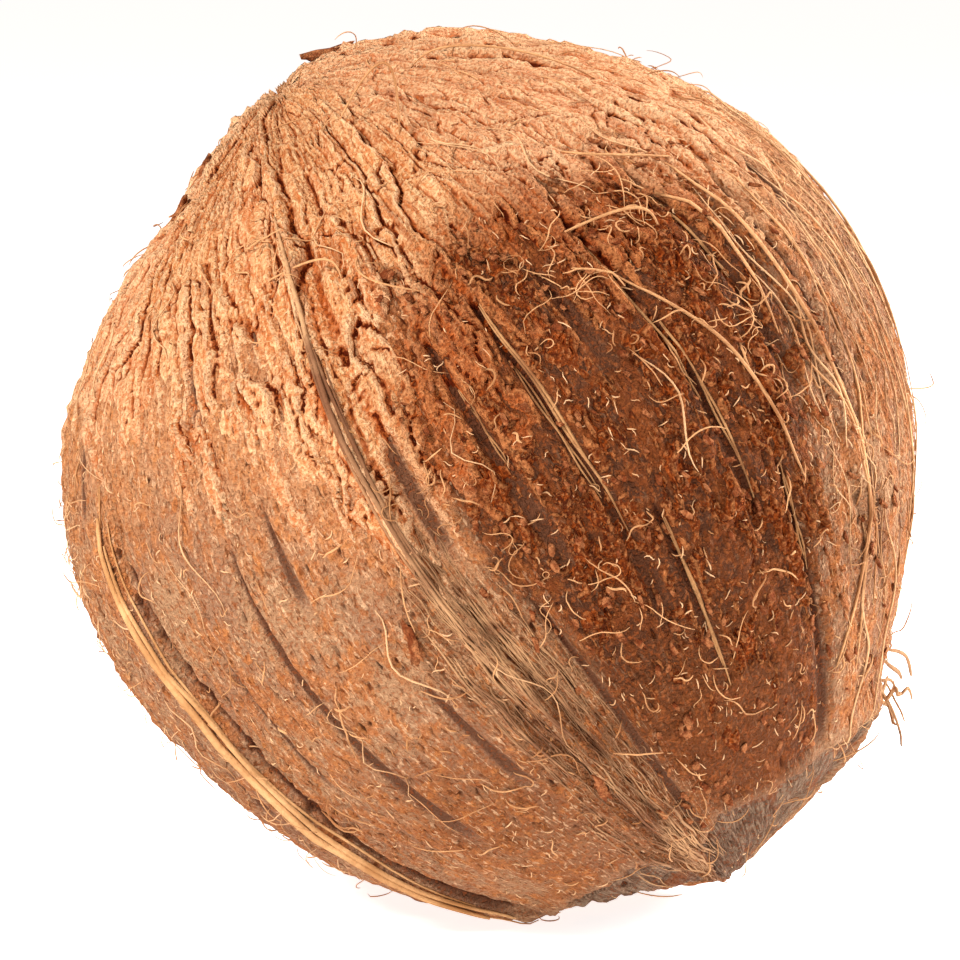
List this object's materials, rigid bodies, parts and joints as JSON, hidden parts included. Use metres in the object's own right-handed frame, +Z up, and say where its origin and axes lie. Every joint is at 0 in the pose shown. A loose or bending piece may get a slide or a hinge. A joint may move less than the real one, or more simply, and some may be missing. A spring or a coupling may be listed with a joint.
{
  "type": "coconut",
  "caption": "Brown husked coconut lying on a small flat spot, with raised seams, grooves along the grain, bark plates, loose husk fibres and germination eyes.",
  "frame": {"origin": "on the floor, on the small flat spot that the nut rests on, right below the middle of the nut", "axes": "+Z up, -Y towards the viewer, +X to the right; the nut's own axis runs from the eye end low at +X to the blossom end high at -X, 30 degrees off upright"},
  "size_m": [0.1132, 0.1159, 0.1166],
  "materials": {
    "coconut_shell": "rough fibrous brown coconut shell with orange-brown bark and light tan fibres"
  },
  "bodies": {
    "root": {"coconut": "coconut_shell"}
  },
  "joints": []
}
